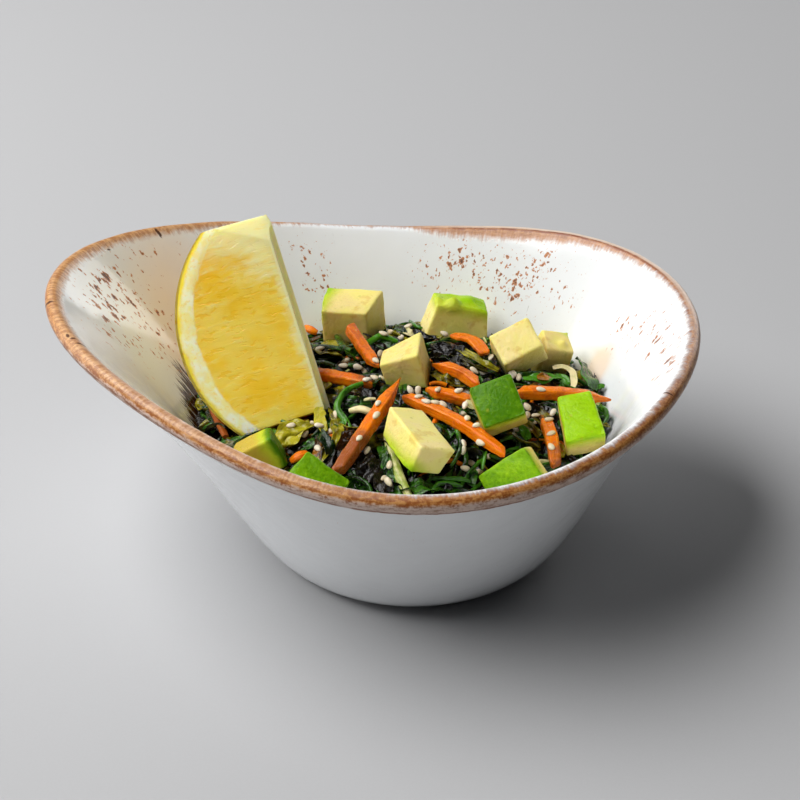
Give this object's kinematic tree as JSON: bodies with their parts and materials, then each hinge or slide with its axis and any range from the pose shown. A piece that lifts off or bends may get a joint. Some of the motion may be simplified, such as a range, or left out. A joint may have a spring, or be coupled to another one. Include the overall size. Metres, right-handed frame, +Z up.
{
  "type": "seaweed salad bowl",
  "caption": "Seaweed salad with avocado dice, carrot sticks, sesame and a lemon wedge in an uneven glazed bowl with one high flared end.",
  "frame": {"origin": "centre of the bowl's flat foot, on the surface it rests on", "axes": "+Z up, +X along the bowl's longest side towards its low end, +Y towards its back; the high end with the lemon is at -X"},
  "size_m": [0.1801, 0.157, 0.087],
  "materials": {
    "glaze": "glossy off-white glaze with a mottled brown rim band and brown flecks inside",
    "seaweed": "wet dark green to black strands and leaves, with olive and brown ones and cream sesame seeds",
    "avocado": "satin, pale yellow cut faces turning green towards the skin side",
    "carrot": "wet orange with fine fibres",
    "lemon": "moist amber flesh with cream pith and a pored yellow rind"
  },
  "bodies": {
    "root": {"bowl": "glaze", "lemon_wedge": "lemon", "avocado_back_left": "avocado", "avocado_back_mid": "avocado", "avocado_back_right": "avocado", "avocado_far_right": "avocado", "avocado_centre": "avocado", "avocado_green": "avocado", "avocado_right": "avocado", "avocado_front_right": "avocado", "avocado_front": "avocado", "avocado_front_left": "avocado", "avocado_left": "avocado", "carrot_front": "carrot", "carrot_long": "carrot", "carrot_upright": "carrot", "carrot_left": "carrot", "carrot_mid": "carrot", "carrot_inner": "carrot", "carrot_right": "carrot", "carrot_shaving": "carrot", "carrot_edge": "carrot", "salad": "seaweed"}
  },
  "joints": []
}
